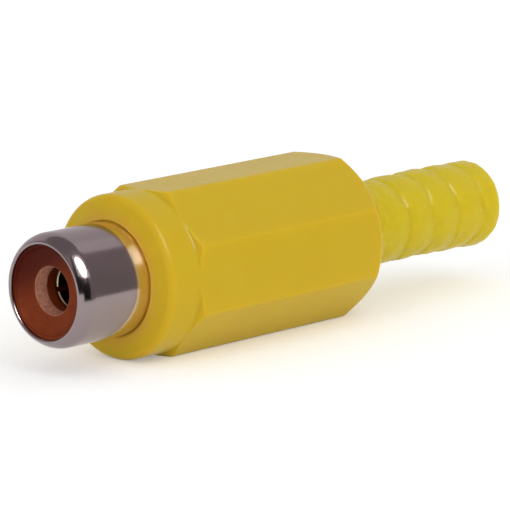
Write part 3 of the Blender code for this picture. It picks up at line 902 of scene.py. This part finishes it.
# %% Sizes of the boot
BOOT_ROOT_RADIUS = 3.08 * MM
BOOT_TIP_RADIUS = 3.17 * MM
BOOT_NECK_RADIUS = 3.1 * MM
NECK_REACH = 0.03 * MM
FLANGE_RADIUS = 3.95 * MM
FLANGE_THICKNESS = 1.3 * MM
CABLE_BORE_RADIUS = 2.25 * MM
BORE_LEAD = 0.3 * MM
BORE_EDGE = 0.1 * MM
LAST_GROOVE_X = BOOT_END_X - 2.3 * MM
RING_PITCH_TOP = 2.9 * MM
RING_PITCH_UNDER = 2.66 * MM
RINGS_BEFORE_LAST = 3
RING_HEIGHT = 0.15 * MM
RING_FULLNESS = 1.25        # the power of the sine between two grooves
ROOT_RINGS = 1.2            # length in rings over which the sleeve thins towards the housing
ROOT_FALL = 0.5             # how much it thins, as a share of a ring's height
ROOT_CURVE = 1.5
LIP_HEIGHT = 0.75           # as a share of a ring's height
LIP_WIDTH = 0.085           # as a share of the pitch
LIP_PATCH = 4.0             # radius of the circle on which a lip reads the noise
LIP_START = 41.75           # place of that circle for the ring at the tip
LIP_STEP = 1.7              # and its step for each further ring
LIP_LEVEL = 0.7             # the lip's share where the noise is 0
LIP_CONTRAST = 1.4
RING_WAVER = 0.12 * MM
SLOW_WAVE = 1.9 * MM
QUICK_WAVE = 1.1 * MM
QUICK_SHARE = 0.6
SAG_RISE = 1.96             # per metre, times the square of the distance from the housing
SAG_DROP = 160.0            # per square metre, times its cube
TIP_SLANT = 0.28 * MM
HOLLOW_DEPTH = 0.05 * MM
HOLLOW_SIZE = 1.1 * MM
TIP_ROUND = 0.8 * MM
BOOT_COLUMNS = 256
BOOT_ROWS = 320


# %% The boot's rings
def ring_swell(x, angle):
    """How far a ring swells at a point, from 0 in a groove to 1 between two grooves."""
    upwards = (1.0 + math.sin(angle)) / 2.0
    pitch = RING_PITCH_UNDER + (RING_PITCH_TOP - RING_PITCH_UNDER) * upwards
    slow = math.sin(2.0 * angle + x / SLOW_WAVE)
    quick = math.sin(5.0 * angle - x / QUICK_WAVE)
    waver = RING_WAVER * (slow + QUICK_SHARE * quick)
    rings_along = (x + waver - LAST_GROOVE_X) / pitch
    if rings_along > 0.5:
        return 1.0
    before_first = -(rings_along + RINGS_BEFORE_LAST + 0.5)
    if before_first > 0.0:
        return 1.0 - ROOT_FALL * min(1.0, before_first / ROOT_RINGS) ** ROOT_CURVE
    gentle = abs(math.sin(math.pi * rings_along)) ** RING_FULLNESS
    share = rings_along % 1.0
    if share > 0.5:
        return gentle
    ring = LIP_START + LIP_STEP * math.floor(rings_along)
    patch = Vector((ring, LIP_PATCH * math.cos(angle), LIP_PATCH * math.sin(angle)))
    lip = LIP_HEIGHT * min(1.0, max(0.0, LIP_LEVEL + LIP_CONTRAST * noise.noise(patch)))
    return lip * min(1.0, share / LIP_WIDTH) + (1.0 - lip) * gentle


def ringed_sleeve(x, radius, angle):
    """Let the rings swell out of the sleeve behind the housing, with small sunken spots."""
    if x <= HOUSING_END_X + NECK_REACH or radius < BOOT_NECK_RADIUS - TIP_ROUND:
        return radius
    spot = Vector((x, radius * math.cos(angle), radius * math.sin(angle)))
    hollow = HOLLOW_DEPTH * noise.fractal(spot / HOLLOW_SIZE, 0.6, 2.0, 3)
    if x > BOOT_END_X - TIP_ROUND:
        wall = BOOT_TIP_RADIUS - CABLE_BORE_RADIUS
        return radius + hollow * (radius - CABLE_BORE_RADIUS) / wall
    return radius + RING_HEIGHT * ring_swell(x, angle) + hollow


def sag(piece):
    """Bend the sleeve a little up behind the housing and down at its tip, and slant its end."""
    sleeve = BOOT_END_X - HOUSING_END_X
    for vertex in piece.data.vertices:
        behind = vertex.co.x - HOUSING_END_X
        if behind > 0.0:
            lowness = (BOOT_TIP_RADIUS - (vertex.co.z - AXIS_Z)) / (2.0 * BOOT_TIP_RADIUS)
            vertex.co.x -= TIP_SLANT * lowness * (behind / sleeve) ** 4
            vertex.co.z += SAG_RISE * behind ** 2 - SAG_DROP * behind ** 3


# %% Mould the boot
def boot_section():
    tip_x = BOOT_END_X - TIP_ROUND
    flange_end_x = BOOT_START_X + FLANGE_THICKNESS
    seat_x = HOUSING_END_X + NECK_REACH
    tip_centre = (tip_x, BOOT_TIP_RADIUS + RING_HEIGHT - TIP_ROUND)
    section = [
        (BOOT_START_X, CABLE_BORE_RADIUS + BORE_LEAD),
        (BOOT_START_X, FLANGE_RADIUS),
        (flange_end_x, FLANGE_RADIUS),
        (flange_end_x, BOOT_NECK_RADIUS),
        (seat_x, BOOT_NECK_RADIUS),
    ]
    sleeve_start = (seat_x + NECK_REACH, BOOT_ROOT_RADIUS)
    section += between(sleeve_start, (tip_x, BOOT_TIP_RADIUS), BOOT_ROWS)
    section += arc(tip_centre, (TIP_ROUND, TIP_ROUND), 90, 0, steps=20)[1:]
    section += [
        (BOOT_END_X, CABLE_BORE_RADIUS + BORE_EDGE),
        (BOOT_END_X - BORE_EDGE, CABLE_BORE_RADIUS),
        (BOOT_START_X + BORE_LEAD, CABLE_BORE_RADIUS),
    ]
    return section


boot = lathe("vinyl_boot", boot_section(), BOOT_COLUMNS, ringed_sleeve)
sag(boot)
hand_over(boot, "strain_relief_boot", "boot", VINYL, sharp_angle=60.0)

# %% [markdown]
# ## The table and the background
#
# The portrait is taken on white. The table is a pale sheet that keeps the soft shadow under the
# connector, with a little glow that only the camera and mirrored light see. The world is white to
# them too. To the plastic it is weaker, and gives a plain, even light from all round.

# %% Table and background
TABLE_SIZE = 4.0
TABLE_LIFT = 0.25           # glow that the camera and mirrors see on top of the lit paper
PAPER_FIBRE = 3.0 * MM


def seen_directly_or_mirrored(tree):
    """1 for camera rays, in reflections and through clear things, and 0 for diffuse light."""
    path = tree.nodes.new("ShaderNodeLightPath")
    mirrored = add_node(
        tree, "ShaderNodeMath",
        {0: path.outputs["Is Camera Ray"], 1: path.outputs["Is Glossy Ray"]}, operation="MAXIMUM",
    )
    return add_node(
        tree, "ShaderNodeMath",
        {0: mirrored.outputs[0], 1: path.outputs["Is Transmission Ray"]}, operation="MAXIMUM",
    ).outputs[0]


def white_table():
    material, tree, output, place = blank_material("white paper sweep")
    fibres = add_node(
        tree, "ShaderNodeTexNoise", {"Vector": place, "Scale": 1.0 / PAPER_FIBRE, "Detail": 4.0},
    )
    tone = add_node(
        tree, "ShaderNodeMix",
        {"Factor": fibres.outputs["Fac"], 6: linear("#FBFBFB"), 7: linear("#FEFEFE")},
        data_type="RGBA",
    )
    paper = add_node(tree, "ShaderNodeBsdfDiffuse", {"Color": tone.outputs[2]})
    shown = seen_directly_or_mirrored(tree)
    lift = add_node(tree, "ShaderNodeMath", {0: shown, 1: TABLE_LIFT}, operation="MULTIPLY")
    glow = add_node(tree, "ShaderNodeEmission", {"Strength": lift.outputs[0]})
    both = add_node(tree, "ShaderNodeAddShader", {0: paper.outputs[0], 1: glow.outputs[0]})
    tree.links.new(both.outputs[0], output.inputs["Surface"])
    return material


table_corners = [
    (-TABLE_SIZE, -TABLE_SIZE, 0),
    (TABLE_SIZE, -TABLE_SIZE, 0),
    (TABLE_SIZE, TABLE_SIZE, 0),
    (-TABLE_SIZE, TABLE_SIZE, 0),
]
table_mesh = bpy.data.meshes.new("table")
table_mesh.from_pydata(table_corners, [], [(0, 1, 2, 3)])
table = bpy.data.objects.new("table", table_mesh)
bpy.context.scene.collection.objects.link(table)
table_mesh.materials.append(white_table())
print(f"table: {2.0 * TABLE_SIZE:.0f} m across")

# %% The world
AMBIENT = 0.70              # strength of the world as a light. To the camera it is 1
world = bpy.data.worlds.new("soft studio")
bpy.context.scene.world = world
world.use_nodes = True
sky = world.node_tree
sky.nodes.clear()
shown = seen_directly_or_mirrored(sky)
level = add_node(
    sky, "ShaderNodeMapRange", {"Value": shown, "To Min": AMBIENT, "To Max": 1.0},
)
backdrop = add_node(
    sky, "ShaderNodeBackground", {"Color": linear("#FFFFFF"), "Strength": level.outputs["Result"]},
)
add_node(sky, "ShaderNodeOutputWorld", {"Surface": backdrop.outputs[0]})
print("world lights with a strength of", AMBIENT)

# %% [markdown]
# ## The studio
#
# One softbox stands high to the right of the camera. A flat one low beside the camera and a weak
# one on the mouth's side fill the shade. The lamps themselves leave no mirror image: what the
# metal shows is set up further down.

# %% Softboxes
def direction(azimuth, elevation):
    """A unit vector from the connector, with azimuth 0 towards -Y and 90 towards +X."""
    turn = math.radians(azimuth)
    rise = math.radians(elevation)
    level_part = math.cos(rise)
    return Vector((math.sin(turn) * level_part, -math.cos(turn) * level_part, math.sin(rise)))


def softbox(name, azimuth, elevation, distance, width, height, watts):
    """An oval area lamp that looks at the connector."""
    lamp = bpy.data.lights.new(name, "AREA")
    lamp.shape = "ELLIPSE"
    lamp.size = width
    lamp.size_y = height
    lamp.energy = watts
    holder = bpy.data.objects.new(name, lamp)
    bpy.context.scene.collection.objects.link(holder)
    holder.location = Vector((0.0, 0.0, AXIS_Z)) + direction(azimuth, elevation) * distance
    holder.rotation_euler = (-direction(azimuth, elevation)).to_track_quat("-Z", "Y").to_euler()
    return holder


LAMP_DISTANCE = 0.8
KEY_WIDTH = 0.42
KEY_HEIGHT = 0.52

key = softbox(
    "key softbox", azimuth=-6.0, elevation=46.0, distance=LAMP_DISTANCE,
    width=KEY_WIDTH, height=KEY_HEIGHT, watts=0.62,
)
front = softbox(
    "front softbox", azimuth=-20.0, elevation=8.0, distance=LAMP_DISTANCE,
    width=0.5, height=0.2, watts=1.3,
)
fill = softbox(
    "fill softbox", azimuth=-78.0, elevation=28.0, distance=LAMP_DISTANCE,
    width=0.5, height=0.5, watts=0.5,
)
for lamp in (key, front, fill):
    lamp.visible_glossy = False
print("key softbox at", [round(value, 3) for value in key.location])

# %% [markdown]
# A mirror finish shows whatever stands round it, and among white walls it would look like white
# plastic. Photographers stand black and grey cards, called flags, just outside the picture. Here
# they are strips that only mirrored light sees: black ones bent round the mouth's side, a grey
# one along the front, far off the walls of the room, and a grey ceiling. The softbox's bright
# cloth is one more card of that kind. The faint gloss of the plastic catches them as well.

# %% Flags
NEAR_FLAG = 25.0 * MM
FAR_WALL = 1.1
FLAG_STEPS = 24
CLOTH_FOLD = 40.0 * MM
FOLD_SHADE = 0.08           # how much the folds of a card's cloth change its glow


def mirrored_card(name, points, faces, shade, strength=1.0):
    """Stand up a glowing card that only mirror-like reflections show."""
    mesh = bpy.data.meshes.new(name)
    mesh.from_pydata(points, [], faces)
    card = bpy.data.objects.new(name, mesh)
    bpy.context.scene.collection.objects.link(card)
    material, tree, output, place = blank_material(name)
    cloth = add_node(tree, "ShaderNodeTexNoise", {"Vector": place, "Scale": 1.0 / CLOTH_FOLD})
    folds = add_node(
        tree, "ShaderNodeMapRange",
        {"Value": cloth.outputs["Fac"], "To Min": (1.0 - FOLD_SHADE) * strength,
         "To Max": (1.0 + FOLD_SHADE) * strength},
    )
    glow = add_node(
        tree, "ShaderNodeEmission", {"Color": linear(shade), "Strength": folds.outputs["Result"]},
    )
    tree.links.new(glow.outputs[0], output.inputs["Surface"])
    mesh.materials.append(material)
    card.visible_camera = False
    card.visible_diffuse = False
    card.visible_shadow = False
    print(f"{name}: {len(mesh.vertices)} corners, shade {shade}")
    return card


def flag(name, strip, shade):
    """A card from (x, y, low, high) stations along its foot."""
    points = []
    for x, y, low, high in strip:
        points += [(x, y, low), (x, y, high)]
    faces = [(2 * n, 2 * n + 2, 2 * n + 3, 2 * n + 1) for n in range(len(strip) - 1)]
    return mirrored_card(name, points, faces, shade)


def bent_strip(centre_x, distance, start, end, low, high):
    """Stations on an arc between two azimuths, with an elevation for the foot and the top."""
    stations = []
    for step in range(FLAG_STEPS + 1):
        foot = direction(start + (end - start) * step / FLAG_STEPS, 0.0) * distance
        bottom = max(0.0, AXIS_Z + distance * math.tan(math.radians(low)))
        top = AXIS_Z + distance * math.tan(math.radians(high))
        stations.append((centre_x + foot.x, foot.y, bottom, top))
    return stations


NOSE_X = MOUTH_X + 2.0 * MM
BLACK_VELVET = "#1C1A1A"
BLACK_END = 6.0             # azimuth at which the grey flag takes over from the black one
grey_strip = [
    (NOSE_X + NEAR_FLAG * math.sin(math.radians(BLACK_END)), -NEAR_FLAG, 0.0, 17.0 * MM),
    (60.0 * MM, -NEAR_FLAG, 0.0, 22.0 * MM),
]

# After the centre and the distance come two azimuths and then two elevations.
flag("black flag", bent_strip(NOSE_X, NEAR_FLAG, -24.0, BLACK_END, -20.0, 25.0), BLACK_VELVET)
flag("left black flag", bent_strip(NOSE_X, NEAR_FLAG, -52.0, -24.0, -2.0, 27.0), BLACK_VELVET)
flag("tall black flag", bent_strip(NOSE_X, NEAR_FLAG, -53.0, -37.0, 27.0, 62.0), BLACK_VELVET)
flag("grey flag", grey_strip, "#9A9292")
flag("right wall", bent_strip(0.0, FAR_WALL, 25.0, 73.0, 5.0, 62.0), "#9F9698")
flag("window wall", bent_strip(0.0, FAR_WALL, 73.0, 106.0, 0.0, 52.0), "#EAE5E8")
flag("rear wall", bent_strip(0.0, FAR_WALL, 106.0, 190.0, 0.0, 50.0), "#DAD4D7")
flag("left wall", bent_strip(0.0, FAR_WALL, -170.0, -58.0, 10.0, 80.0), "#B2A8A8")

# %% The softbox's cloth and the ceiling
OVAL_CORNERS = 32
CLOTH_STRENGTH = 24.0
CEILING_HEIGHT = 0.9
CEILING_WIDTH = 1.2
CEILING_BEHIND = 0.2


def oval_card(name, placed, width, height, shade, strength=1.0):
    """A flat oval card, put in place by a matrix."""
    corners = []
    for n in range(OVAL_CORNERS):
        turn = math.tau * n / OVAL_CORNERS
        corner = Vector((math.cos(turn) * width / 2.0, math.sin(turn) * height / 2.0, 0.0))
        corners.append(tuple(placed @ corner))
    return mirrored_card(name, corners, [tuple(range(OVAL_CORNERS))], shade, strength)


behind_cloth = Matrix.Translation(key.location) @ key.rotation_euler.to_matrix().to_4x4()
oval_card("softbox cloth", behind_cloth, KEY_WIDTH, KEY_HEIGHT, "#FFFFFF", CLOTH_STRENGTH)
overhead = Matrix.Translation((0.0, CEILING_BEHIND, CEILING_HEIGHT))
oval_card("ceiling", overhead, CEILING_WIDTH, CEILING_WIDTH, "#9A9298")

# %% [markdown]
# ## The camera
#
# In the photograph the near and the far end of the connector come out at almost the same scale,
# as through a long lens from far off. The values below come from fitting the outline. They put the
# housing and the mouth about a pixel, and the tip of the boot within two pixels, from where the
# photograph has them.

# %% The camera
PICTURE_WIDTH = 510
FOCAL_PIXELS = 4000.0
SENSOR_WIDTH = 36.0
CAMERA_AZIMUTH = -45.2955
CAMERA_ELEVATION = 11.0586
CAMERA_ROLL = -1.2735
CAMERA_DISTANCE = 294.317 * MM
CAMERA_AIM = Vector((-1.524 * MM, 0.0, 5.429 * MM))
CLIP_START = 0.02
CLIP_END = 20.0

lens = bpy.data.cameras.new("long lens")
lens.sensor_width = SENSOR_WIDTH
lens.lens = FOCAL_PIXELS / PICTURE_WIDTH * SENSOR_WIDTH
lens.clip_start = CLIP_START
lens.clip_end = CLIP_END
camera = bpy.data.objects.new("long lens", lens)
bpy.context.scene.collection.objects.link(camera)
back = direction(CAMERA_AZIMUTH, CAMERA_ELEVATION)
level_right = Vector((0.0, 0.0, 1.0)).cross(back).normalized()
level_up = back.cross(level_right)
roll = math.radians(CAMERA_ROLL)
right = level_right * math.cos(roll) + level_up * math.sin(roll)
up = level_up * math.cos(roll) - level_right * math.sin(roll)
turned = Matrix((right, up, back)).transposed()
camera.matrix_world = Matrix.Translation(CAMERA_AIM + back * CAMERA_DISTANCE) @ turned.to_4x4()
bpy.context.scene.camera = camera
bpy.context.scene.view_settings.view_transform = "Standard"
print(f"lens {lens.lens:.1f} mm, {CAMERA_DISTANCE / MM:.0f} mm away")
